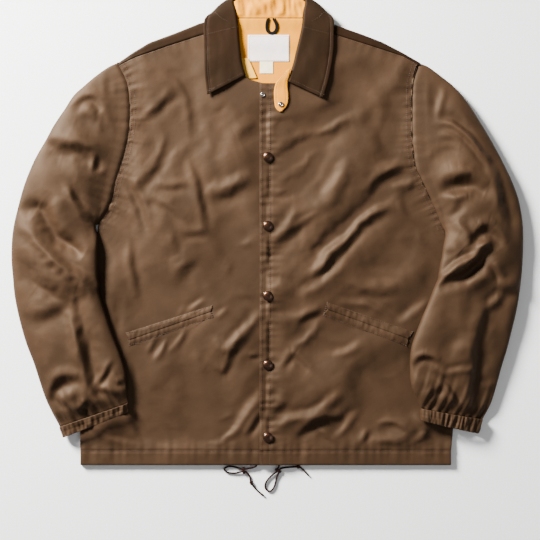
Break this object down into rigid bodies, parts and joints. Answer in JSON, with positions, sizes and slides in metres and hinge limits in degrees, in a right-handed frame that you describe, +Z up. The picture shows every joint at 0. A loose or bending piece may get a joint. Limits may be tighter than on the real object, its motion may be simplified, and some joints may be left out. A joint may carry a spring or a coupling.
{
  "type": "coach jacket",
  "caption": "Nylon coach jacket laid flat on its back: pointed collar, snap front, slanted welt pockets, gathered elastic cuffs and a corded hem.",
  "frame": {"origin": "middle of the jacket's outline without the cords, on the surface it lies on", "axes": "+X to the viewer's right, across the jacket; +Y from the hem to the collar; +Z up, out of the front"},
  "size_m": [0.7658, 0.7616, 0.0299],
  "materials": {
    "nylon": "satin woven nylon, dark brown",
    "lining": "smooth tan lining",
    "label": "woven label, bare",
    "black_tape": "black woven tape",
    "cord": "braided cord, dark brown",
    "snap_metal": "dark brown glossy domed caps"
  },
  "bodies": {
    "root": {"back": "nylon", "front_left_under": "nylon", "front_right_over": "nylon", "sleeve_left": "nylon", "sleeve_right": "nylon", "cuff_left": "nylon", "cuff_right": "nylon", "collar": "nylon", "collar_stand": "nylon", "stand_lining": "lining", "neck_lining": "lining", "label": "label", "size_tab": "label", "hang_loop": "black_tape", "chin_tab": "lining", "chin_tab_snap": "snap_metal", "snap_1": "snap_metal", "snap_2": "snap_metal", "snap_3": "snap_metal", "snap_4": "snap_metal", "snap_5": "snap_metal", "snap_top": "snap_metal", "welt_left_upper": "nylon", "welt_left_lower": "nylon", "welt_right_upper": "nylon", "welt_right_lower": "nylon", "drawcord_left": "cord", "drawcord_right": "cord", "cord_wrap_left": "cord", "cord_wrap_right": "cord"}
  },
  "joints": []
}
